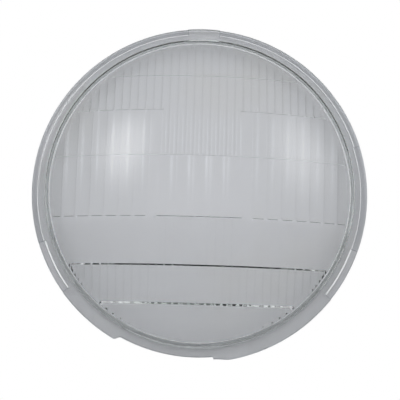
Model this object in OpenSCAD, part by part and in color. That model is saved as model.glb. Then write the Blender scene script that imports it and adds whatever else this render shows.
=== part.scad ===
// Headlamp lens: the round pressed-glass front of a motor-vehicle headlamp, one moulding.
// It lies on the rear face of its rim at z = 0, with the convex face up.
// +Z is the optical axis, out of the convex face. +Y is the lens's top, +X is to the right seen from the front.
// Millimetres and degrees. Angles round the rim run anticlockwise from +X, seen from the front.

/* [Rim] */
// Outside diameter of the rim
rim_d = 178; // [165:1:200]
// Thickness of the rim at its full lands
rim_t = 5; // [4:0.5:7]
// Width of the flat rim, from its edge to the foot of the skirt
rim_w = 7.5; // [6:0.5:9]
// Radius of the rounded front edge of the full lands
rim_round = 0.6; // [0.3:0.1:0.6]
// Width of the two long steps, in from the rim's edge
width_shallow = 3.3; // [2.5:0.1:3.5]
// Width of the step on the right
width_mid = 3.8; // [3.6:0.1:4]
// Width of the two clip steps
width_deep = 4.2; // [4.1:0.1:4.6]
// Depth of the two long steps, over the upper half
step_shallow = 0.9; // [0.8:0.1:1.1]
// Depth of the step on the right
step_mid = 1.2; // [1.2:0.1:1.5]
// Depth of the two short steps, where the retaining clips bear
step_deep = 1.6; // [1.6:0.1:2.4]
// Half angle of the full land at the top
pad_half = 5.5; // [3:0.5:9]
// Angle from the bottom of the lens to the middle of each clip step
clip_off = 61.7; // [55:0.1:66]
// Half angle of a clip step
clip_half = 9.4; // [6:0.1:11]
// Angle above +X at which the right-hand step ends
side_end = 18; // [10:1:30]
// Radial depth of the locating notch
notch_depth = 2.5; // [1:0.1:3]
// Angle from the bottom of the lens to the middle of the notch
notch_off = 10.9; // [6:0.1:16]
// Half angle of the locating notch
notch_half = 17; // [10:0.5:20]

/* [Dome and skirt] */
// Overall height, from the rear face to the top of the dome
height = 36; // [34:0.5:40]
// Outside radius of the dome
dome_r = 153; // [148:1:165]
// Thickness of the plain glass under the flutes
glass_t = 4; // [3.5:0.1:5]
// Wall of the skirt at its foot
skirt_t = 2.5; // [2.2:0.1:3.5]
// Inward lean of the skirt's outside
draft_out = 3; // [2:0.5:5]
// Inward lean of the skirt's inside
draft_in = 8; // [6:0.5:12]
// Radius of the bend between skirt and dome, outside
bend_out = 1.5; // [1:0.5:3]
// Radius of the bend between skirt and dome, inside
bend_in = 2; // [1.5:0.5:4]
// Fillet at the foot of the skirt
foot_round = 1.5; // [0.5:0.5:2]

/* [Optics] */
// Distance from the middle to the first pair of horizontal step lines
line_1 = 15.5; // [13:0.5:19]
// Distance from the middle to the second pair
line_2 = 39.5; // [36:0.5:43]
// Distance from the middle to the third pair
line_3 = 58.5; // [56:0.5:62]
// Half width of the centre column of flutes
column_half = 20.5; // [18:0.1:22]
// Distance from the middle to the inner edge of the side fields
field_in = 26; // [23:0.5:30]
// Pitch of the narrow flutes
pitch_fine = 4.1; // [3.7:0.1:4.6]
// Pitch of the wide flutes in the side fields
pitch_side = 7.4; // [6:0.1:9]
// Height of the narrow flutes
flute_fine = 0.45; // [0.3:0.05:0.5]
// Height of the wide flutes
flute_wide = 0.6; // [0.4:0.05:0.65]
// Height of the faint flutes near the bottom
flute_faint = 0.25; // [0.1:0.05:0.3]
// Thickness of a prism band at its thin end, over the plain glass
wedge_thin = 0.5; // [0.45:0.05:0.7]
// Thickness of a shallow prism band at its thick end
wedge_low = 0.9; // [0.8:0.1:1.2]
// Thickness of a strong prism band at its thick end
wedge_high = 1.7; // [1.3:0.1:2]

/* [Hidden] */
$fn = 144;
// How far one shape is sunk into another so that they join
sink = 1;
// How far a cutter runs past the glass
clear = 1;
// How far a prism band reaches into the plain glass behind it
embed = wedge_high + sink;
// Half angle that every band sweeps about its horizontal axis before it is trimmed
sweep_half = 45;
rim_r = rim_d / 2;
dome_z = height - dome_r;
inner_r = dome_r - glass_t;
foot_out = [rim_r - rim_w, rim_t];
foot_in = foot_out - [skirt_t, 0];
// How far out the bands run, just inside the skirt's wall
band_reach = foot_in.x - (height / 3 - rim_t) * tan(draft_in) + sink;
bottom = 270;
// Start, end, width and depth of each step along the rim's edge. A shallow step ends inside its deeper neighbour.
rim_steps = [
    [0, 90 - pad_half, width_shallow, step_shallow],
    [90 + pad_half, bottom - clip_off, width_shallow, step_shallow],
    [bottom - clip_off - clip_half, bottom - clip_off + clip_half, width_deep, step_deep],
    [bottom + clip_off - clip_half, bottom + clip_off + clip_half, width_deep, step_deep],
    [bottom + clip_off, 360 + side_end, width_mid, step_mid]
];
pitch_column = 2 * column_half / 5;
// Bands from top to bottom: lower y, upper y, thickness at the lower y, thickness at the upper y
bands = [
    [line_3, band_reach, wedge_low, wedge_thin],
    [line_2, line_3, wedge_low, wedge_thin],
    [line_1, line_2, wedge_low, wedge_thin],
    [-line_1, line_1, wedge_thin, wedge_thin],
    [-line_2, -line_1, wedge_thin, wedge_low],
    [-line_3, -line_2, wedge_thin, wedge_high],
    [-band_reach, -line_3, wedge_thin, wedge_high]
];
// Fields of flutes: band, left x, right x, pitch, height
fields = [
    [0, -band_reach, band_reach, pitch_fine, flute_fine],
    [1, -column_half, column_half, pitch_column / 2, flute_fine],
    [1, column_half, band_reach, pitch_fine, flute_fine],
    [2, -column_half, column_half, pitch_column / 2, flute_fine],
    [2, field_in, band_reach, pitch_side, flute_wide],
    [3, -column_half, column_half, pitch_column, flute_wide],
    [3, field_in, band_reach, pitch_side, flute_wide],
    [4, -column_half, column_half, pitch_column / 2, flute_fine],
    [4, field_in, band_reach, pitch_side, flute_faint],
    [5, -band_reach, band_reach, pitch_fine, flute_fine],
    [6, -band_reach, band_reach, pitch_side, flute_faint]
];

// Outward normal and upward direction of a skirt line that leans inward by draft
function lean(draft) = [cos(draft), sin(draft)];
function rise(draft) = [-sin(draft), cos(draft)];

// Centre of the bend that touches a skirt line through foot and a dome of radius dome
function bend_centre(foot, draft, dome, bend) =
    let (start = foot - bend * lean(draft))
    let (offset = start - [0, dome_z])
    let (along = offset * rise(draft))
    start + rise(draft) * (sqrt(along ^ 2 - offset * offset + (dome - bend) ^ 2) - along);

// Shift of a band's own dome, in y and z, that gives thickness low at y_low and thickness high at y_high
function band_shift(y_low, y_high, low, high) =
    let (a = asin(y_low / inner_r))
    let (b = asin(y_high / inner_r))
    let (span = sin(b - a))
    [(high * cos(a) - low * cos(b)) / span, (low * sin(b) - high * sin(a)) / span];

// Radius of the circle whose arc over one pitch rises by the flute's height
function flute_r(pitch, rise_h) = (pitch ^ 2 / 4 + rise_h ^ 2) / (2 * rise_h);

// Half section, filled from the axis to the face: skirt line, bend and dome, down to z = low
module filled_section(foot, draft, dome, bend, low) {
    c = bend_centre(foot, draft, dome, bend);
    out = (c - [0, dome_z]) / norm(c - [0, dome_z]);
    base = foot + rise(draft) * (low - foot.y) / rise(draft).y;
    intersection() {
        translate([0, dome_z]) circle(dome);
        polygon([[0, c.y], c, c + out * 2 * bend, [(c + out * 2 * bend).x, height + clear], [0, height + clear]]);
    }
    translate(c) circle(bend);
    polygon([[0, low], base, c + lean(draft) * bend, c, [0, c.y]]);
}

// Concave fillet between the rim's front face and the skirt
module foot_section() {
    out = lean(draft_out);
    c = [foot_out.x + foot_round * (1 - out.y) / out.x, foot_out.y + foot_round];
    touch = c - out * foot_round;
    difference() {
        polygon([[c.x, rim_t - sink], c, touch, touch - out * sink, foot_out - [sink, sink]]);
        translate(c) circle(foot_round);
    }
}

// Rim with its rounded front edge
module rim_section() {
    square([rim_r, rim_t - rim_round]);
    square([rim_r - rim_round, rim_t]);
    translate([rim_r - rim_round, rim_t - rim_round]) circle(rim_round);
}

// Plain shell: rim, skirt and dome
module shell() {
    rotate_extrude() difference() {
        union() {
            rim_section();
            foot_section();
            filled_section(foot_out, draft_out, dome_r, bend_out, 0);
        }
        filled_section(foot_in, draft_in, inner_r, bend_in, -clear);
    }
}

// Ring sector that cuts the rim between two angles, outside radius r and above z
module rim_cut(from, to, r, z) {
    rotate([0, 0, from]) rotate_extrude(angle = to - from)
        translate([r, z]) square([rim_r - r + clear, rim_t - z + clear]);
}

// Section of a field of flutes, in the plane through the band's own horizontal axis
module flute_section(x_from, x_to, pitch, rise_h) {
    count = ceil((x_to - x_from) / pitch);
    r = flute_r(pitch, rise_h);
    intersection() {
        difference() {
            circle(inner_r + embed);
            circle(inner_r - 2 * rise_h);
        }
        translate([0, x_from]) square([inner_r + 2 * embed, x_to - x_from]);
        for (i = [0 : count - 1]) {
            a = asin((x_from + (i + 0.5) * pitch) / inner_r);
            translate((inner_r + r) * [cos(a), sin(a)]) circle(r);
        }
    }
}

// One field of flutes in one band, trimmed to the band's straight edges and to the skirt
module flute_field(band, x_from, x_to, pitch, rise_h) {
    shift = band_shift(band[0], band[1], band[2], band[3]);
    intersection() {
        translate([0, -shift[0], dome_z - shift[1]]) rotate([0, -90, 0])
            rotate([0, 0, -sweep_half]) rotate_extrude(angle = 2 * sweep_half)
                flute_section(x_from, x_to, pitch, rise_h);
        translate([-rim_r, band[0], 0]) cube([rim_d, band[1] - band[0], height]);
        cylinder(r = band_reach, h = height);
    }
}

module headlamp_lens() {
    color([0.72, 0.78, 0.78, 0.6]) union() {
        difference() {
            shell();
            for (s = rim_steps) rim_cut(s[0], s[1], rim_r - s[2], rim_t - s[3]);
            rim_cut(bottom - notch_off - notch_half, bottom - notch_off + notch_half, rim_r - notch_depth, -clear);
        }
        for (f = fields) {
            flute_field(bands[f[0]], f[1], f[2], f[3], f[4]);
            if (f[1] > 0) mirror([1, 0, 0]) flute_field(bands[f[0]], f[1], f[2], f[3], f[4]);
        }
    }
}

headlamp_lens();
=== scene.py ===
"""Headlamp lens: a round pressed-glass lens on a pale studio floor.

The rim, skirt and dome are one closed mesh. Geometry Nodes press the prism bands and flutes into its inner
face.
Lengths are in metres. +Z is the optical axis, out of the convex face, and +Y is the lens's top.
"""

import math

import bmesh
import bpy
from bpy.props import FloatProperty, FloatVectorProperty, PointerProperty
from mathutils import Matrix, Vector


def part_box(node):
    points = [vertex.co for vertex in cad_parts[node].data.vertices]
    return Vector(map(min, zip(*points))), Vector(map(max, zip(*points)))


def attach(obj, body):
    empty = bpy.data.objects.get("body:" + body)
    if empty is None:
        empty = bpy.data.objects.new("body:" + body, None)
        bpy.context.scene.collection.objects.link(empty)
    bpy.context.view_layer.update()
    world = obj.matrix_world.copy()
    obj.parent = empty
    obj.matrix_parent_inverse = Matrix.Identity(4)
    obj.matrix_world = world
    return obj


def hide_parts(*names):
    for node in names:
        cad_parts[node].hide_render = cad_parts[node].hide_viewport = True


bl_info = {
    "name": "Headlamp Lens",
    "version": (1, 0, 0),
    "blender": (4, 5, 0),
    "location": "View3D > Sidebar > Headlamp Lens",
    "description": "Builds a round pressed-glass headlamp lens and its studio",
    "category": "Object",
}

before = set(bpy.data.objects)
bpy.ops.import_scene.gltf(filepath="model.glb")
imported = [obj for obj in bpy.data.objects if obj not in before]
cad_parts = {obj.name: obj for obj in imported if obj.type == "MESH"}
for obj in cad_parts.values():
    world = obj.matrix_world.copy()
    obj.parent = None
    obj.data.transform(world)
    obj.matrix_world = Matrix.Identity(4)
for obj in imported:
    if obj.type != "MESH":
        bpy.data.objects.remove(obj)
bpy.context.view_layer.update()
NODE = "headlamp_lens"
LOW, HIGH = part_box(NODE)
RIM_R = HIGH.x
HEIGHT = HIGH.z
MM = 0.001
BOTTOM = 270.0
FLOOR_Z = -0.4 * MM
FLOOR_HALF = 4.0
AIM = (0.27 * MM, -3.3 * MM, 0.0)
WHITE = (1.0, 1.0, 1.0, 1.0)
# Direction, half width, half height and strength of the two soft window lights.
WINDOW_LIGHTS = (
    ((-0.53, 0.39, 0.75), 0.28, 0.45, 4.0),
    ((0.67, 0.38, 0.64), 0.34, 0.45, 2.6),
)


# --------------------------------------------------------------------------- sizes and looks


def length(name, default, description):
    return FloatProperty(name=name, default=default, description=description, unit="LENGTH", precision=5)


def angle(name, degrees, description):
    return FloatProperty(name=name, default=math.radians(degrees), description=description, subtype="ANGLE")


def colour(name, default, description):
    return FloatVectorProperty(
        name=name, default=default, description=description, size=3, min=0.0, max=1.0, subtype="COLOR"
    )


class LensSizes(bpy.types.PropertyGroup):
    """Driving sizes of the moulding. The rim's diameter and the height come from the frame."""

    rim_t: length("Rim thickness", 5.0 * MM, "Thickness of the rim at its full lands")
    rim_w: length("Rim width", 7.5 * MM, "From the rim's edge to the foot of the skirt")
    rim_round: length("Rim edge round", 0.6 * MM, "Radius of the rim's front edge")
    rear_round: length("Rear edge round", 0.4 * MM, "Radius of the rim's rear edges")
    width_shallow: length("Long step width", 3.3 * MM, "Width of the two long rim steps")
    step_shallow: length("Long step depth", 0.9 * MM, "Depth of the two long rim steps")
    run_shallow: length("Long step wall", 0.3 * MM, "Width of the sloping wall of the two long rim steps")
    width_mid: length("Side step width", 3.8 * MM, "Width of the right-hand rim step")
    step_mid: length("Side step depth", 1.2 * MM, "Depth of the right-hand rim step")
    run_mid: length("Side step wall", 0.35 * MM, "Width of the sloping wall of the right-hand rim step")
    width_deep: length("Clip step width", 4.2 * MM, "Width of the two clip steps")
    step_deep: length("Clip step depth", 1.6 * MM, "Depth of the two clip steps")
    run_deep: length("Clip step wall", 0.8 * MM, "Width of the sloping wall of the two clip steps")
    step_soft: length("Step edge round", 0.25 * MM, "Size of the soft edge above and below a step's wall")
    pad_half: angle("Top land half angle", 5.5, "Half angle of the full land at the top")
    clip_off: angle("Clip step offset", 61.7, "From the bottom to the middle of each clip step")
    clip_half: angle("Clip step half angle", 9.4, "Half angle of a clip step")
    side_end: angle("Side step end", 18.0, "Where the right-hand step ends, above +X")
    notch_depth: length("Notch depth", 2.5 * MM, "Radial depth of the locating notch")
    notch_off: angle("Notch offset", 10.9, "From the bottom to the middle of the notch")
    notch_half: angle("Notch half angle", 17.0, "Half angle of the locating notch")
    notch_ease: angle("Notch corner", 2.0, "Angle over which the notch's left corner is rounded")
    notch_ramp: angle("Notch ramp", 6.5, "Angle over which the rim grows to full size right of the notch")
    ramp_depth: length("Ramp depth", 1.3 * MM, "Depth of that ramp at the notch")
    dome_r: length("Dome radius", 153.0 * MM, "Outside radius of the dome")
    glass_t: length("Glass thickness", 4.0 * MM, "Plain glass under the flutes")
    skirt_t: length("Skirt thickness", 2.5 * MM, "Wall of the skirt at its foot")
    draft_out: angle("Outer draft", 3.0, "Inward lean of the skirt's outside")
    draft_in: angle("Inner draft", 8.0, "Inward lean of the skirt's inside")
    bend_out: length("Outer bend", 1.5 * MM, "Radius between skirt and dome, outside")
    bend_in: length("Inner bend", 2.0 * MM, "Radius between skirt and dome, inside")
    foot_round: length("Foot fillet", 1.5 * MM, "Fillet at the foot of the skirt")


class OpticSizes(bpy.types.PropertyGroup):
    """Sizes of the prism bands and flutes on the inner face."""

    line_1: length("First step lines", 15.5 * MM, "From the middle to the first pair of step lines")
    line_2: length("Second step lines", 39.5 * MM, "From the middle to the second pair")
    line_3: length("Third step lines", 58.5 * MM, "From the middle to the third pair")
    column_half: length("Column half width", 20.5 * MM, "Half width of the centre column")
    field_in: length("Side field start", 26.0 * MM, "From the middle to the side fields")
    pitch_side: length("Wide pitch", 7.4 * MM, "Pitch of the wide flutes in the side fields")
    flute_fine: length("Narrow flute height", 0.45 * MM, "Height of the narrow flutes")
    flute_wide: length("Wide flute height", 0.6 * MM, "Height of the wide flutes")
    flute_faint: length("Faint flute height", 0.25 * MM, "Height of the faint flutes")
    wedge_thin: length("Prism thin end", 0.5 * MM, "Thickness of a prism band at its thin end")
    wedge_low: length("Shallow prism", 0.9 * MM, "Thick end of a shallow prism band")
    wedge_high: length("Strong prism", 1.7 * MM, "Thick end of a strong prism band")
    riser_thin: length("Shallow riser", 0.15 * MM, "Width of the sloping riser at a shallow step line")
    riser_mid: length("Column riser", 0.22 * MM, "Width of the sloping riser at the column's lower step line")
    riser_wide: length("Strong riser", 0.6 * MM, "Width of the sloping riser at a strong step line")
    riser_last: length("Last riser", 0.9 * MM, "Width of the sloping riser at the lowest step line")
    fade: length("Flute run-out", 1.2 * MM, "Over which the flutes die away at the skirt")
    blend: length("Column blend", 2.5 * MM, "Over which the prisms change, on each side of the column's edge")


class GlassLook(bpy.types.PropertyGroup):
    """Colour and finish of the pressed glass."""

    tint: colour("Tint", (0.93, 0.926, 0.958), "Colour of light through the skin of the glass")
    depth_tint: colour("Depth tint", (0.12, 0.22, 0.17), "Colour that long ways through the glass turn to")
    density: FloatProperty(
        name="Density", description="Light taken off per metre of glass", default=30.0, min=0.0
    )
    stain: colour("Stain", (0.93, 0.90, 0.85), "Colour of the faint stains in the film")
    # Dark colour of the specks, also used as painted shade on the rim's step ends, step floors and outer edge
    # and along the flute valleys.
    speck_and_shade: colour("Grime", (0.36, 0.40, 0.46), "Colour of dulled edges, corners and specks")
    ior: FloatProperty(name="IOR", description="Index of refraction", default=1.5, min=1.3, max=1.9)


class StudioLook(bpy.types.PropertyGroup):
    """Camera."""

    distance: length("Camera distance", 0.6, "From the middle of the rim to the camera")
    tilt: angle("Camera tilt", 7.42, "Lean of the camera off the optical axis, towards the lens's bottom")
    swing: angle("Camera swing", -0.2, "Lean of the camera off the optical axis, to the right")
    roll: angle("Camera roll", 1.61, "Clockwise turn of the lens in the picture")
    focal: FloatProperty(
        name="Focal length", description="On a 36 mm wide sensor", default=101.2, min=20.0, max=300.0
    )


# --------------------------------------------------------------------------- plan grid of the two domed faces


def spaced(start, end, step):
    """Evenly spaced values from start to end, no more than step apart."""
    count = max(1, math.ceil((end - start) / step - 1e-6))
    return [start + (end - start) * i / count for i in range(count + 1)]


def merged(values, gap):
    """Sorted values with those closer than gap to the one before left out."""
    kept = []
    for v in sorted(values):
        if not kept or v - kept[-1] > gap:
            kept.append(v)
    return kept


def plan_columns(optics, radius):
    """x of the grid's columns: ten to a narrow flute, and one on every flute's edge."""
    pitch = optics.column_half / 5
    edges = [i * pitch for i in range(int(radius / pitch) + 1)]
    wide = [optics.field_in + i * optics.pitch_side for i in range(12)]
    edges = [e for e in merged(edges + wide, 0.02 * MM) if e < radius * 0.999] + [radius * 1.01]
    half = [0.0]
    for a, b in zip(edges, edges[1:]):
        half += spaced(a, b, pitch / 10)[1:]
    return [-x for x in reversed(half[1:])] + half


def plan_rows(optics, radius):
    """y of the grid's rows: a pair at every step line, and even rows between them."""
    risers = [(line, optics.riser_thin) for line in (optics.line_1, optics.line_2, optics.line_3)]
    risers += [(-optics.line_1, optics.riser_mid), (-optics.line_2, optics.riser_wide)]
    risers += [(-optics.line_3, optics.riser_last)]
    edges = [-radius * 1.01, radius * 1.01]
    for y, width in risers:
        edges += [y - width / 2, y + width / 2]
    edges.sort()
    rows = [edges[0]]
    for a, b in zip(edges, edges[1:]):
        rows += spaced(a, b, 2.6 * MM)[1:]
    return rows


class Plan:
    """A rectangular grid clipped by a circle.

    It holds the points, the faces, and the ring of points on the circle, anticlockwise.
    """

    def __init__(self, xs, ys, radius, ring_angles):
        self.xs, self.ys, self.radius = xs, ys, radius
        self.points, self.faces, self.index = [], [], {}
        self.ring_extra = sorted(ring_angles)
        self.on_ring = {}
        for j in range(len(ys) - 1):
            for i in range(len(xs) - 1):
                self.cell(i, j)
        self.ring = [n for _, n in sorted((a, n) for n, a in self.on_ring.items())]

    def inside(self, i, j):
        return self.xs[i] ** 2 + self.ys[j] ** 2 < self.radius ** 2

    def point(self, key, x, y, ring=False):
        if key not in self.index:
            self.index[key] = len(self.points)
            self.points.append((x, y))
            if ring:
                self.on_ring[self.index[key]] = math.atan2(y, x) % math.tau
        return self.index[key]

    def crossing(self, corner_a, corner_b):
        """The point where the edge between two neighbouring corners meets the circle."""
        (i, j), (m, n) = sorted((corner_a, corner_b))
        r2 = self.radius ** 2
        if j == n:
            y = self.ys[j]
            x = math.copysign(math.sqrt(r2 - y * y), self.xs[i] + self.xs[m])
            return self.point(("row", j, x > 0), x, y, ring=True)
        x = self.xs[i]
        y = math.copysign(math.sqrt(r2 - x * x), self.ys[j] + self.ys[n])
        return self.point(("column", i, y > 0), x, y, ring=True)

    def arc(self, start, end):
        """Extra ring points between two ring points, anticlockwise."""
        a = self.on_ring[start]
        span = (self.on_ring[end] - a) % math.tau
        if span > math.pi:
            return []
        offsets = [((e - a) % math.tau, e) for e in self.ring_extra]
        between = [e for off, e in sorted(offsets) if 1e-6 < off < span - 1e-6]
        r = self.radius
        return [self.point(("extra", e), r * math.cos(e), r * math.sin(e), True) for e in between]

    def cell(self, i, j):
        corners = [(i, j), (i + 1, j), (i + 1, j + 1), (i, j + 1)]
        flags = [self.inside(*c) for c in corners]
        if not any(flags):
            return
        loop, left_at = [], None
        order = list(range(4))
        first = next(k for k in order if flags[k])
        order = order[first:] + order[:first]
        for k in order:
            here, there = corners[k], corners[(k + 1) % 4]
            if flags[k]:
                loop.append(self.point(here, self.xs[here[0]], self.ys[here[1]]))
            if flags[k] != flags[(k + 1) % 4]:
                p = self.crossing(here, there)
                if flags[k]:
                    left_at = p
                else:
                    loop += self.arc(left_at, p)
                loop.append(p)
        clean = [p for n, p in enumerate(loop) if p != loop[n - 1]]
        if len(clean) > 2:
            self.faces.append(clean)


# --------------------------------------------------------------------------- skirt and rim section


def bend_centre(foot, draft, dome, bend, dome_z):
    """Centre, in (r, z), of a bend of that radius that touches the skirt line through foot and the dome."""
    rise = Vector((-math.sin(draft), math.cos(draft)))
    start = foot - Vector((math.cos(draft), math.sin(draft))) * bend
    offset = start - Vector((0.0, dome_z))
    along = offset.dot(rise)
    return start + rise * (math.sqrt(along * along - offset.length_squared + (dome - bend) ** 2) - along)


def arc_points(centre, radius, start, end, count):
    """Points in (r, z) on an arc from angle start to angle end, both ends included."""
    turns = [start + (end - start) * i / count for i in range(count + 1)]
    return [centre + Vector((math.cos(t), math.sin(t))) * radius for t in turns]


class Section:
    """The fixed lines of the moulding's half section, in (r, z)."""

    def __init__(self, sizes):
        self.sizes = sizes
        self.dome_z = HEIGHT - sizes.dome_r
        self.inner_r = sizes.dome_r - sizes.glass_t
        self.foot_out = Vector((RIM_R - sizes.rim_w, sizes.rim_t))
        self.foot_in = self.foot_out - Vector((sizes.skirt_t, 0.0))
        axis_point = Vector((0.0, self.dome_z))
        dome_z = self.dome_z
        self.bend_out = bend_centre(self.foot_out, sizes.draft_out, sizes.dome_r, sizes.bend_out, dome_z)
        self.bend_in = bend_centre(self.foot_in, sizes.draft_in, self.inner_r, sizes.bend_in, dome_z)
        self.out_angle = math.atan2(*reversed(self.bend_out - axis_point))
        self.in_angle = math.atan2(*reversed(self.bend_in - axis_point))
        self.ring_out = sizes.dome_r * math.cos(self.out_angle)
        self.ring_in = self.inner_r * math.cos(self.in_angle)

    def wall(self, edge_r, step):
        """Points from just below the outer dome, over the skirt and rim, to just below the inner dome.

        With each point comes the zone of the face that ends at it.
        """
        s = self.sizes
        width, depth, run = step
        points, zones = [], []

        def add(zone, more):
            points.extend(more)
            zones.extend([zone] * len(more))

        add("bend", arc_points(self.bend_out, s.bend_out, self.out_angle, s.draft_out, 7)[1:])
        past = s.foot_round * (1 - math.sin(s.draft_out)) / math.cos(s.draft_out)
        fillet = Vector((self.foot_out.x + past, s.rim_t + s.foot_round))
        add("skirt", arc_points(fillet, s.foot_round, math.pi + s.draft_out, math.pi * 1.5, 5))
        step_r = RIM_R - width
        floor_z = s.rim_t - depth
        soft = s.step_soft
        drop = min(depth / 2, soft)
        add("land", [Vector((step_r - soft, s.rim_t)), Vector((step_r - soft * 0.3, s.rim_t - drop * 0.3))])
        add("land", [Vector((step_r, s.rim_t - drop))])
        add("wall", [Vector((step_r + run, floor_z + drop * 0.5))])
        add("floor", [Vector((step_r + run + soft, floor_z))])
        top = Vector((edge_r - s.rim_round, floor_z - s.rim_round))
        curve = arc_points(top, s.rim_round, math.pi / 2, 0.0, 5)
        add("floor", curve[:1])
        add("edge", curve[1:])
        rear = Vector((edge_r - s.rear_round, s.rear_round))
        add("edge", arc_points(rear, s.rear_round, 0.0, -math.pi / 2, 3))
        up = Vector((-math.tan(s.draft_in), 1.0))
        down = self.foot_in - up * self.foot_in.y
        corner = down + (up + Vector((1.0, 0.0))) * s.rear_round * 0.3
        add("rear", [down + Vector((s.rear_round, 0.0)), corner])
        add("inside", [down + up * s.rear_round])
        add("inside", arc_points(self.bend_in, s.bend_in, s.draft_in, self.in_angle, 10)[:-1])
        return points, zones


def eased(t):
    t = min(1.0, max(0.0, t))
    return t * t * (3.0 - 2.0 * t)


class RimPlan:
    """What the rim's edge does round the lens: its radius, and the width and depth of its step."""

    wall_half = math.radians(0.14)
    # Painted shade: the step end walls, the floors of the long and side steps, and the rim's outer edge get a
    # darker base colour.
    step_end_painted_shade = 0.9
    step_floor_painted_shade = 0.34
    edge_painted_shade = 0.45

    def __init__(self, s):
        bottom = math.radians(BOTTOM)
        top = math.pi / 2
        left, right = bottom - s.clip_off, bottom + s.clip_off
        self.s = s
        self.full = (s.width_deep, 0.0, s.run_deep)
        long_step = (s.width_shallow, s.step_shallow, s.run_shallow)
        clip_step = (s.width_deep, s.step_deep, s.run_deep)
        self.spans = [
            (s.side_end, top - s.pad_half, long_step),
            (top + s.pad_half, left - s.clip_half, long_step),
            (left - s.clip_half, left + s.clip_half, clip_step),
            (right - s.clip_half, right + s.clip_half, clip_step),
            (right + s.clip_half, math.tau + s.side_end, (s.width_mid, s.step_mid, s.run_mid)),
        ]
        self.notch_start = bottom - s.notch_off - s.notch_half
        self.notch_end = bottom - s.notch_off + s.notch_half

    def ring_angles(self):
        """Angles that the ring of points needs besides the grid's own."""
        found = []
        for start, end, _ in self.spans:
            for edge in (start, end):
                found += [edge - self.wall_half, edge + self.wall_half]
        found += [self.notch_end - self.wall_half, self.notch_end + self.wall_half]
        ease = self.s.notch_ease / 2
        found += spaced(self.notch_start - ease, self.notch_start + ease, math.radians(0.2))
        ramp_end = self.notch_end + self.s.notch_ramp
        found += spaced(self.notch_end + self.wall_half, ramp_end, math.radians(0.6))[1:]
        found += [math.tau * k / 240 for k in range(240)]
        return merged([a % math.tau for a in found], math.radians(0.03))

    def at(self, a):
        """Edge radius, and the step's width, depth and wall, at an angle."""
        s = self.s
        found = self.full
        for start, end, step in self.spans:
            if start < a < end or start < a + math.tau < end:
                found = step
        cut = 0.0
        if self.notch_start - s.notch_ease < a < self.notch_end:
            cut = s.notch_depth * eased((a - self.notch_start) / s.notch_ease + 0.5)
        elif self.notch_end <= a < self.notch_end + s.notch_ramp:
            cut = s.ramp_depth * (1.0 - eased((a - self.notch_end) / s.notch_ramp))
        return RIM_R - cut, found

    def shade_and_finish_of(self, zone, step, beside):
        """How much painted shade darkens a face of the rim, and whether it is ground.

        Both follow from the steps at the face's two ends.
        """
        if zone == "wall" and step[1] > 0.0 and step == beside:
            return 0.0, 1
        if zone in ("wall", "floor") and step != beside:
            return self.step_end_painted_shade, 0
        if zone == "floor" and 0.0 < step[1] < self.s.step_deep:
            return self.step_floor_painted_shade, 0
        if zone == "edge":
            return self.edge_painted_shade, 0
        return 0.0, 0


# --------------------------------------------------------------------------- mesh


def dome_height(x, y, radius, centre_z):
    return centre_z + math.sqrt(radius * radius - x * x - y * y)


def add_dome(bm, plan, scale, radius, centre_z, up):
    """One domed face on the plan's grid. Returns the ring's vertices in order."""
    verts = []
    for x, y in plan.points:
        x, y = x * scale, y * scale
        verts.append(bm.verts.new((x, y, dome_height(x, y, radius, centre_z))))
    for face in plan.faces:
        bm.faces.new([verts[i] for i in (face if up else reversed(face))])
    return [verts[i] for i in plan.ring]


def build_blank(sizes, optics):
    """The moulding with a plain inner face, as one closed mesh."""
    section = Section(sizes)
    rim = RimPlan(sizes)
    reach = section.ring_in
    plan = Plan(plan_columns(optics, reach), plan_rows(optics, reach), reach, rim.ring_angles())
    bm = bmesh.new()
    outer = add_dome(bm, plan, section.ring_out / section.ring_in, sizes.dome_r, section.dome_z, True)
    inner = add_dome(bm, plan, 1.0, section.inner_r, section.dome_z, False)
    # Painted shade per face: how much the glass material darkens the base colour there.
    painted_shade = bm.faces.layers.float.new("painted_shade")
    ground = bm.faces.layers.int.new("ground")
    columns = []
    for n, i in enumerate(plan.ring):
        a = plan.on_ring[i]
        edge_r, step = rim.at(a)
        wall, zones = section.wall(edge_r, step)
        made = [bm.verts.new((p.x * math.cos(a), p.x * math.sin(a), p.y)) for p in wall]
        columns.append(([outer[n]] + made + [inner[n]], step))
    zones.append("inside")
    for (here, step), (there, beside) in zip(columns, columns[1:] + columns[:1]):
        for k, zone in enumerate(zones):
            face = bm.faces.new((here[k], here[k + 1], there[k + 1], there[k]))
            face[painted_shade], face[ground] = rim.shade_and_finish_of(zone, step, beside)
    bmesh.ops.recalc_face_normals(bm, faces=bm.faces)
    mesh = bpy.data.meshes.new(NODE)
    bm.to_mesh(mesh)
    bm.free()
    return mesh, section


# --------------------------------------------------------------------------- node helpers


class Tree:
    """Short ways to add and link nodes in one tree."""

    def __init__(self, tree):
        self.tree = tree
        self.nodes = tree.nodes
        self.column = 0

    def add(self, kind, inputs=None, **settings):
        node = self.nodes.new(kind)
        for name, value in settings.items():
            setattr(node, name, value)
        for key, value in (inputs or {}).items():
            self.feed(node.inputs[key], value)
        node.location = (220 * (self.column % 12), -260 * (self.column // 12))
        self.column += 1
        return node

    def feed(self, socket, value):
        if isinstance(value, bpy.types.NodeSocket):
            self.tree.links.new(value, socket)
        elif isinstance(value, bpy.types.Node):
            self.tree.links.new(value.outputs[0], socket)
        else:
            socket.default_value = value

    def soft_range(self, value, low, high, at_low=0.0, at_high=1.0, ease="SMOOTHSTEP"):
        """Turns value, from low to high, into an eased number from at_low to at_high."""
        inputs = {0: value, 1: low, 2: high, 3: at_low, 4: at_high}
        return self.add("ShaderNodeMapRange", inputs, interpolation_type=ease).outputs[0]


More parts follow.
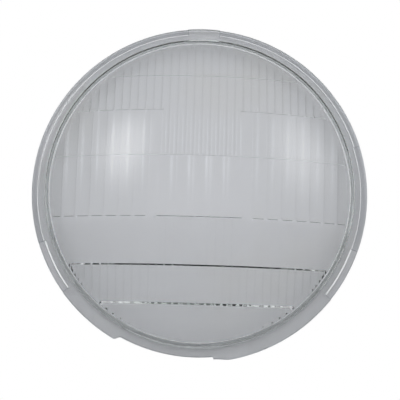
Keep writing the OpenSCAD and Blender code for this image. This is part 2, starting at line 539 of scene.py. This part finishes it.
class GeoTree(Tree):
    """Maths on fields in a Geometry Nodes tree."""

    def maths(self, operation, *values):
        return self.add("ShaderNodeMath", dict(enumerate(values)), operation=operation).outputs[0]

    def pick(self, condition, when_false, when_true):
        node = self.add("GeometryNodeSwitch", {0: condition, 1: when_false, 2: when_true}, input_type="FLOAT")
        return node.outputs[0]

    def by_band(self, band, values):
        node = self.add("GeometryNodeIndexSwitch", data_type="FLOAT")
        while len(node.index_switch_items) < len(values):
            node.index_switch_items.new()
        self.feed(node.inputs[0], band)
        for n, value in enumerate(values):
            self.feed(node.inputs[n + 1], value)
        return node.outputs[0]


def group_socket(tree, name, kind, direction="INPUT", default=None):
    socket = tree.interface.new_socket(name, in_out=direction, socket_type=kind)
    if default is not None:
        socket.default_value = default
    return socket


OPTIC_INPUTS = (
    ("Inner Radius", None), ("Dome Centre", None), ("Reach", None),
    ("Line 1", "line_1"), ("Line 2", "line_2"), ("Line 3", "line_3"),
    ("Column Half", "column_half"), ("Field Start", "field_in"), ("Side Pitch", "pitch_side"),
    ("Fine Height", "flute_fine"), ("Wide Height", "flute_wide"), ("Faint Height", "flute_faint"),
    ("Thin End", "wedge_thin"), ("Low End", "wedge_low"), ("High End", "wedge_high"), ("Run-out", "fade"),
    ("Column Blend", "blend"),
)


def optics_tree():
    """Geometry Nodes tree that presses the prism bands and flutes into the inner dome."""
    tree = bpy.data.node_groups.new("Press optics", "GeometryNodeTree")
    group_socket(tree, "Geometry", "NodeSocketGeometry")
    for name, _ in OPTIC_INPUTS:
        group_socket(tree, name, "NodeSocketFloat")
    group_socket(tree, "Material", "NodeSocketMaterial")
    group_socket(tree, "Ground Material", "NodeSocketMaterial")
    group_socket(tree, "Geometry", "NodeSocketGeometry", "OUTPUT")
    t = GeoTree(tree)
    given = t.add("NodeGroupInput").outputs
    place = t.add("ShaderNodeSeparateXYZ", {0: t.add("GeometryNodeInputPosition")}).outputs
    x, y, z = place[0], place[1], place[2]
    side = t.maths("ABSOLUTE", x)
    line_1, line_2, line_3 = given["Line 1"], given["Line 2"], given["Line 3"]
    reach, column = given["Reach"], given["Column Half"]
    lines = [line_3, line_2, line_1] + [t.maths("MULTIPLY", line, -1.0) for line in (line_1, line_2, line_3)]
    band = t.maths("LESS_THAN", y, lines[0])
    for line in lines[1:]:
        band = t.maths("ADD", band, t.maths("LESS_THAN", y, line))
    low_reach = t.maths("MULTIPLY", reach, -1.0)
    low_y = t.by_band(band, lines + [low_reach])
    high_y = t.by_band(band, [reach] + lines)
    thin, low, high = given["Thin End"], given["Low End"], given["High End"]
    in_column = t.maths("LESS_THAN", side, t.maths("ADD", column, 0.01 * MM))
    field_low = t.by_band(band, [low, low, low, thin, thin, thin, thin])
    field_high = t.by_band(band, [thin, thin, thin, thin, thin, high, high])
    column_low = t.by_band(band, [low, thin, low, 0.0, thin, thin, thin])
    column_high = t.by_band(band, [thin, thin, thin, thin, low, high, high])
    inner_x = t.maths("SUBTRACT", column, given["Column Blend"])
    outer_x = t.maths("ADD", column, given["Column Blend"])
    ends = [
        t.soft_range(side, inner_x, outer_x, at_column, at_field)
        for at_column, at_field in ((column_low, field_low), (column_high, field_high))
    ]
    wedge = t.add("ShaderNodeMapRange", {0: y, 1: low_y, 2: high_y, 3: ends[0], 4: ends[1]}).outputs[0]

    fine = t.maths("DIVIDE", column, 5.0)
    double = t.maths("MULTIPLY", fine, 2.0)
    wide = given["Side Pitch"]
    start = given["Field Start"]
    fine_h, wide_h, faint_h = given["Fine Height"], given["Wide Height"], given["Faint Height"]
    column_pitch = t.by_band(band, [fine, fine, fine, double, fine, fine, double])
    column_phase = t.by_band(band, [0.0, 0.0, 0.0, fine, 0.0, 0.0, fine])
    column_h = t.by_band(band, [fine_h, fine_h, fine_h, wide_h, fine_h, fine_h, faint_h])
    field_pitch = t.by_band(band, [fine, fine, wide, wide, wide, fine, double])
    field_phase = t.by_band(band, [column, column, start, start, start, column, column])
    field_h = t.by_band(band, [fine_h, fine_h, wide_h, wide_h, faint_h, fine_h, faint_h])
    pitch = t.pick(in_column, field_pitch, column_pitch)
    phase = t.pick(in_column, field_phase, column_phase)
    height = t.pick(in_column, field_h, column_h)
    turn = t.maths("DIVIDE", t.maths("WRAP", t.maths("SUBTRACT", side, phase), pitch, 0.0), pitch)
    across = t.maths("SUBTRACT", t.maths("MULTIPLY", turn, 2.0), 1.0)
    flute = t.maths("MULTIPLY", height, t.maths("SUBTRACT", 1.0, t.maths("MULTIPLY", across, across)))
    plain = t.maths("LESS_THAN", side, t.maths("SUBTRACT", phase, 0.01 * MM))
    is_plain = t.maths("MULTIPLY", plain, t.maths("SUBTRACT", 1.0, in_column))
    flute = t.maths("MULTIPLY", flute, t.maths("SUBTRACT", 1.0, is_plain))

    plan_r = t.maths("SQRT", t.maths("ADD", t.maths("MULTIPLY", x, x), t.maths("MULTIPLY", y, y)))
    drop = t.maths("SUBTRACT", z, given["Dome Centre"])
    square = t.maths("ADD", t.maths("MULTIPLY", plan_r, plan_r), t.maths("MULTIPLY", drop, drop))
    from_centre = t.maths("SQRT", square)
    on_inner = t.maths("COMPARE", from_centre, given["Inner Radius"], 0.02 * MM)
    in_reach = t.maths("LESS_THAN", plan_r, reach)
    above = t.maths("GREATER_THAN", drop, 0.0)
    chosen = t.maths("MULTIPLY", t.maths("MULTIPLY", on_inner, in_reach), above)
    edge = t.maths("SUBTRACT", reach, given["Run-out"])
    run_out = t.soft_range(plan_r, edge, reach, 1.0, 0.0)
    depth = t.maths("MULTIPLY", t.maths("ADD", wedge, flute), run_out)
    drop_z = t.maths("MULTIPLY", t.maths("MULTIPLY", depth, chosen), -1.0)
    offset = t.add("ShaderNodeCombineXYZ", {2: drop_z})
    # Valley mask of the flutes, which the glass material uses for painted shade along the valleys.
    valley = t.maths("MULTIPLY", t.maths("POWER", across, 4.0), t.maths("SUBTRACT", 1.0, is_plain))
    valley = t.maths("MULTIPLY", valley, t.maths("MULTIPLY", chosen, run_out))
    store = {"Geometry": given["Geometry"], "Name": "valley", "Value": valley}
    marked = t.add("GeometryNodeStoreNamedAttribute", store)
    moved = t.add("GeometryNodeSetPosition", {"Geometry": marked, "Offset": offset})
    real = t.add("GeometryNodeRealizeInstances", {0: moved})
    painted = t.add("GeometryNodeSetMaterial", {"Geometry": real, "Material": given["Material"]})
    ground = t.add("GeometryNodeInputNamedAttribute", {"Name": "ground"}, data_type="INT")
    frosted = t.maths("GREATER_THAN", ground.outputs[0], 0.5)
    finish = {0: painted, "Selection": frosted, "Material": given["Ground Material"]}
    edged = t.add("GeometryNodeSetMaterial", finish)
    t.add("NodeGroupOutput", {0: edged})
    return tree


def pressed(obj, tree, values):
    """The object's mesh after the tree, as a plain mesh."""
    modifier = obj.modifiers.new(tree.name, "NODES")
    modifier.node_group = tree
    for item in tree.interface.items_tree:
        if item.in_out == "INPUT" and item.name in values:
            modifier[item.identifier] = values[item.name]
    bpy.context.view_layer.update()
    graph = bpy.context.evaluated_depsgraph_get()
    mesh = bpy.data.meshes.new_from_object(obj.evaluated_get(graph))
    obj.modifiers.remove(modifier)
    return mesh


# --------------------------------------------------------------------------- materials


def noise_height_group():
    """Shader group: a soft height that varies over the surface, for a fire-polished skin."""
    tree = bpy.data.node_groups.new("Fire polish", "ShaderNodeTree")
    group_socket(tree, "Scale", "NodeSocketFloat", default=40.0)
    group_socket(tree, "Height", "NodeSocketFloat", "OUTPUT")
    t = Tree(tree)
    given = t.add("NodeGroupInput").outputs
    place = t.add("ShaderNodeTexCoord").outputs["Object"]
    settings = {"Vector": place, "Scale": given["Scale"], "Detail": 2.0, "Roughness": 0.4}
    noise = t.add("ShaderNodeTexNoise", settings)
    t.add("NodeGroupOutput", {0: noise.outputs[0]})
    return tree


def film_group():
    """Shader group: soft smudges left by handling, and larger faint stains."""
    tree = bpy.data.node_groups.new("Handling film", "ShaderNodeTree")
    group_socket(tree, "Smudge Scale", "NodeSocketFloat", default=30.0)
    group_socket(tree, "Stain Scale", "NodeSocketFloat", default=14.0)
    group_socket(tree, "Smudge", "NodeSocketFloat", "OUTPUT")
    group_socket(tree, "Stain", "NodeSocketFloat", "OUTPUT")
    t = Tree(tree)
    given = t.add("NodeGroupInput").outputs
    place = t.add("ShaderNodeTexCoord").outputs["Object"]
    marks = []
    for scale, low, high in ((given["Smudge Scale"], 0.42, 0.72), (given["Stain Scale"], 0.52, 0.74)):
        settings = {"Vector": place, "Scale": scale, "Detail": 4.0, "Roughness": 0.55}
        noise = t.add("ShaderNodeTexNoise", settings)
        marks.append(t.soft_range(noise.outputs[0], low, high))
    t.add("NodeGroupOutput", {0: marks[0], 1: marks[1]})
    return tree


def speck_group():
    """Shader group: a few tiny specks and seeds, no two alike."""
    tree = bpy.data.node_groups.new("Specks", "ShaderNodeTree")
    group_socket(tree, "Scale", "NodeSocketFloat", default=130.0)
    group_socket(tree, "Size", "NodeSocketFloat", default=0.07)
    group_socket(tree, "Share", "NodeSocketFloat", default=0.12)
    group_socket(tree, "Speck", "NodeSocketFloat", "OUTPUT")
    t = Tree(tree)
    given = t.add("NodeGroupInput").outputs
    place = t.add("ShaderNodeTexCoord").outputs["Object"]
    cells = t.add("ShaderNodeTexVoronoi", {"Vector": place, "Scale": given["Scale"]}).outputs
    chance = t.add("ShaderNodeSeparateColor", {0: cells["Color"]}).outputs[0]
    picked = t.add("ShaderNodeMath", {0: chance, 1: given["Share"]}, operation="LESS_THAN")
    near = t.add("ShaderNodeMapRange", {0: cells["Distance"], 1: 0.0, 2: given["Size"], 3: 1.0, 4: 0.0})
    speck = t.add("ShaderNodeMath", {0: picked, 1: near}, operation="MULTIPLY")
    t.add("NodeGroupOutput", {0: speck})
    return tree


def blended(t, factor, under, over):
    """A colour mix: under where factor is 0, over where it is 1."""
    mix = t.add("ShaderNodeMix", data_type="RGBA")
    for key, value in ((0, factor), (6, under), (7, over)):
        t.feed(mix.inputs[key], value)
    return mix.outputs[2]


def scaled(t, value, share):
    return t.add("ShaderNodeMath", {0: value, 1: share}, operation="MULTIPLY").outputs[0]


def glass_material(look):
    """Clear pressed glass, fire-polished, with a film of handling, stains and specks, painted shade on the
    rim's marked faces, and painted shade in patches along the flute valleys.
    """
    material = bpy.data.materials.new("Pressed glass")
    material.use_nodes = True
    t = Tree(material.node_tree)
    t.nodes.clear()
    polish = t.add("ShaderNodeGroup", node_tree=noise_height_group())
    polish.inputs["Scale"].default_value = 45.0
    bump = t.add("ShaderNodeBump", {"Strength": 0.15, "Distance": 0.2 * MM, "Height": polish.outputs[0]})
    film = t.add("ShaderNodeGroup", node_tree=film_group()).outputs
    speck = t.add("ShaderNodeGroup", node_tree=speck_group()).outputs[0]
    # Painted shade on the rim's step ends, step floors and outer edge, read from the face attribute.
    painted_shade = t.add("ShaderNodeAttribute", attribute_name="painted_shade").outputs["Fac"]
    # Speck colour, also the colour of the painted shade.
    speck_and_shade = (*look.speck_and_shade, 1.0)
    skin = blended(t, scaled(t, film["Stain"], 0.25), (*look.tint, 1.0), (*look.stain, 1.0))
    skin = blended(t, scaled(t, speck, 0.5), skin, speck_and_shade)
    skin = blended(t, painted_shade, skin, speck_and_shade)
    # Painted shade in patches along the flute valleys: the valley mask times the smudge noise.
    valley = t.add("ShaderNodeAttribute", attribute_name="valley").outputs["Fac"]
    valley_shade = t.add("ShaderNodeMath", {0: valley, 1: film["Smudge"]}, operation="MULTIPLY").outputs[0]
    skin = blended(t, scaled(t, valley_shade, 0.06), skin, speck_and_shade)
    rough = t.add("ShaderNodeMapRange", {0: film["Smudge"], 3: 0.012, 4: 0.07})
    shader = t.add("ShaderNodeBsdfPrincipled", {"Normal": bump, "Base Color": skin, "Roughness": rough})
    shader.inputs["IOR"].default_value = look.ior
    shader.inputs["Transmission Weight"].default_value = 1.0
    inside = t.add("ShaderNodeVolumeAbsorption")
    inside.inputs["Color"].default_value = (*look.depth_tint, 1.0)
    inside.inputs["Density"].default_value = look.density
    t.add("ShaderNodeOutputMaterial", {"Surface": shader, "Volume": inside})
    return material


def ground_material(look):
    """The ground walls of the rim's steps: the same glass with a white frosted skin."""
    material = bpy.data.materials.new("Ground edge")
    material.use_nodes = True
    t = Tree(material.node_tree)
    t.nodes.clear()
    place = t.add("ShaderNodeTexCoord").outputs["Object"]
    grain = t.add("ShaderNodeTexNoise", {"Vector": place, "Scale": 900.0, "Detail": 3.0}).outputs[0]
    bump = t.add("ShaderNodeBump", {"Strength": 0.3, "Distance": 0.05 * MM, "Height": grain})
    frost = blended(t, grain, (0.90, 0.93, 0.95, 1.0), WHITE)
    shader = t.add("ShaderNodeBsdfPrincipled", {"Normal": bump, "Base Color": frost})
    shader.inputs["Roughness"].default_value = 0.55
    shader.inputs["IOR"].default_value = look.ior
    shader.inputs["Transmission Weight"].default_value = 0.05
    t.add("ShaderNodeOutputMaterial", {"Surface": shader})
    return material


def floor_material():
    """Matt pale floor, seen by the camera as plain white."""
    material = bpy.data.materials.new("Pale floor")
    material.use_nodes = True
    t = Tree(material.node_tree)
    t.nodes.clear()
    shader = t.add("ShaderNodeBsdfPrincipled")
    shader.inputs["Base Color"].default_value = (0.95, 0.95, 0.95, 1.0)
    shader.inputs["Roughness"].default_value = 0.9
    shader.inputs["Specular IOR Level"].default_value = 0.0
    seen = t.add("ShaderNodeLightPath").outputs["Is Camera Ray"]
    pale = t.add("ShaderNodeEmission", {"Color": WHITE, "Strength": 1.0})
    mixed = t.add("ShaderNodeMixShader", {0: seen, 1: shader, 2: pale})
    t.add("ShaderNodeOutputMaterial", {"Surface": mixed})
    return material


def soft_light(t, way, centre, width, height, strength):
    """Strength over the sky of a soft-edged light: full at centre, none past its half width and half height."""
    away = t.add("ShaderNodeVectorMath", {0: way, 1: Vector(centre).normalized()}, operation="SUBTRACT")
    sizes = (1 / width, 1 / height, 1 / width)
    spread = t.add("ShaderNodeVectorMath", {0: away, 1: sizes}, operation="MULTIPLY")
    far = t.add("ShaderNodeVectorMath", {0: spread}, operation="LENGTH").outputs["Value"]
    return t.soft_range(far, 0.0, 1.0, strength, 0.0, "SMOOTHERSTEP")


def studio_world():
    """Light overhead and on the lens's top side, two soft window lights, and a pale backdrop for the camera."""
    world = bpy.data.worlds.new("Studio")
    world.use_nodes = True
    t = Tree(world.node_tree)
    t.nodes.clear()
    way = t.add("ShaderNodeTexCoord").outputs["Generated"]
    axes = t.add("ShaderNodeSeparateXYZ", {0: way}).outputs
    ahead = t.soft_range(axes[1], -0.5, 0.1, 0.68, 0.97)
    raised = t.soft_range(axes[2], 0.1, 0.5, 0.6, 1.0)
    total = t.add("ShaderNodeMath", {0: ahead, 1: raised}, operation="MULTIPLY")
    parts = [t.soft_range(axes[1], -0.13, -0.10, 0.0, 0.35)]
    parts += [soft_light(t, way, *light) for light in WINDOW_LIGHTS]
    for part in parts:
        total = t.add("ShaderNodeMath", {0: total, 1: part}, operation="ADD")
    seen = t.add("ShaderNodeLightPath").outputs["Is Camera Ray"]
    lit = t.add("ShaderNodeBackground", {"Color": WHITE, "Strength": total})
    pale = t.add("ShaderNodeBackground", {"Color": (0.93, 0.94, 0.95, 1.0), "Strength": 1.0})
    mixed = t.add("ShaderNodeMixShader", {0: seen, 1: lit, 2: pale})
    t.add("ShaderNodeOutputWorld", {0: mixed})
    return world


# --------------------------------------------------------------------------- operators


class LENS_OT_glass(bpy.types.Operator):
    """Mould the lens"""

    bl_idname = "headlamp.glass"
    bl_label = "Lens glass"

    def execute(self, context):
        scene = context.scene
        optics = scene.lens_optics
        blank, section = build_blank(scene.lens_sizes, optics)
        lens = bpy.data.objects.new("lens_glass", blank)
        scene.collection.objects.link(lens)
        values = {name: getattr(optics, prop) for name, prop in OPTIC_INPUTS if prop}
        values["Inner Radius"] = section.inner_r
        values["Dome Centre"] = section.dome_z
        values["Reach"] = section.ring_in
        values["Material"] = glass_material(scene.lens_glass)
        values["Ground Material"] = ground_material(scene.lens_glass)
        lens.data = pressed(lens, optics_tree(), values)
        lens.data.shade_smooth()
        lens.data.set_sharp_from_angle(angle=math.radians(30.0))
        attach(lens, "root")
        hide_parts(NODE)
        return {"FINISHED"}


class LENS_OT_stage(bpy.types.Operator):
    """Set the floor, the lights and the camera"""

    bl_idname = "headlamp.stage"
    bl_label = "Studio"

    def execute(self, context):
        scene = context.scene
        look = scene.lens_studio
        mesh = bpy.data.meshes.new("floor")
        bm = bmesh.new()
        place = Matrix.Translation((0.0, 0.0, FLOOR_Z))
        bmesh.ops.create_grid(bm, x_segments=1, y_segments=1, size=FLOOR_HALF, matrix=place)
        bm.to_mesh(mesh)
        bm.free()
        floor = bpy.data.objects.new("floor", mesh)
        mesh.materials.append(floor_material())
        scene.collection.objects.link(floor)

        scene.world = studio_world()
        scene.view_settings.view_transform = "Standard"

        flat = math.cos(look.tilt)
        back = Vector((math.sin(look.swing) * flat, -math.sin(look.tilt), math.cos(look.swing) * flat))
        eye = back * look.distance
        away = (eye - Vector(AIM)).normalized()
        right = Vector((0.0, 1.0, 0.0)).cross(away).normalized()
        up = away.cross(right)
        turn = Matrix((right, up, away)).transposed()
        data = bpy.data.cameras.new("camera")
        data.lens = look.focal
        data.sensor_width = 36.0
        data.clip_start = 0.01
        camera = bpy.data.objects.new("camera", data)
        camera.matrix_world = Matrix.Translation(eye) @ (turn @ Matrix.Rotation(look.roll, 3, "Z")).to_4x4()
        scene.collection.objects.link(camera)
        scene.camera = camera
        return {"FINISHED"}


class LENS_PT_panel(bpy.types.Panel):
    """Headlamp lens"""

    bl_idname = "LENS_PT_panel"
    bl_label = "Headlamp Lens"
    bl_space_type = "VIEW_3D"
    bl_region_type = "UI"
    bl_category = "Headlamp Lens"

    def draw(self, context):
        for operator in OPERATORS:
            self.layout.operator(operator.bl_idname)


OPERATORS = (LENS_OT_glass, LENS_OT_stage)
CLASSES = (LensSizes, OpticSizes, GlassLook, StudioLook) + OPERATORS + (LENS_PT_panel,)


def register():
    for cls in CLASSES:
        bpy.utils.register_class(cls)
    bpy.types.Scene.lens_sizes = PointerProperty(type=LensSizes)
    bpy.types.Scene.lens_optics = PointerProperty(type=OpticSizes)
    bpy.types.Scene.lens_glass = PointerProperty(type=GlassLook)
    bpy.types.Scene.lens_studio = PointerProperty(type=StudioLook)


def unregister():
    for name in ("lens_sizes", "lens_optics", "lens_glass", "lens_studio"):
        delattr(bpy.types.Scene, name)
    for cls in reversed(CLASSES):
        bpy.utils.unregister_class(cls)


def main():
    register()
    bpy.ops.headlamp.stage()
    bpy.ops.headlamp.glass()


if __name__ == "__main__":
    main()
